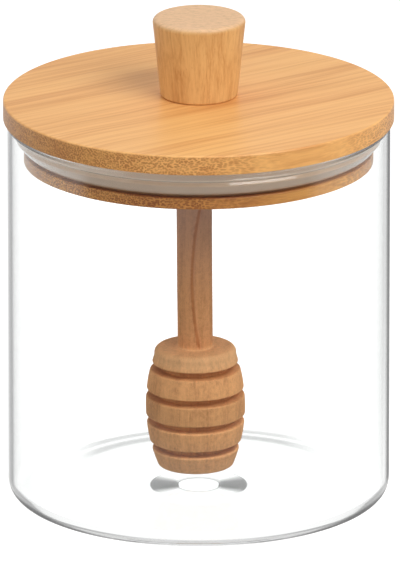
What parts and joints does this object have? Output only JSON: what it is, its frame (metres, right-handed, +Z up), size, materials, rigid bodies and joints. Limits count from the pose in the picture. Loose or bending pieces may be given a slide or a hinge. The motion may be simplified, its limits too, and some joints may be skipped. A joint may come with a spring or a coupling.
{
  "type": "glass honey jar with dipper lid",
  "caption": "Clear straight-sided glass jar with a bamboo plug lid, soft seal, tapered knob and a grooved honey dipper fixed under the lid.",
  "frame": {"origin": "centre of the circle that the jar stands on", "axes": "+Z up along the jar's axis, +Y away from the side that the picture shows"},
  "size_m": [0.1, 0.1, 0.1262],
  "materials": {
    "clear_glass": "clear, polished",
    "bamboo": "satin, long pale strips, dotted end grain on the edge",
    "grey_silicone": "smooth, slightly see-through",
    "knob_wood": "satin, fine upright streaks",
    "dipper_wood": "raw turned wood, darker in the grooves"
  },
  "bodies": {
    "root": {"glass_jar": "clear_glass", "bamboo_lid": "bamboo", "seal_ring": "grey_silicone", "lid_knob": "knob_wood", "honey_dipper": "dipper_wood"}
  },
  "joints": []
}
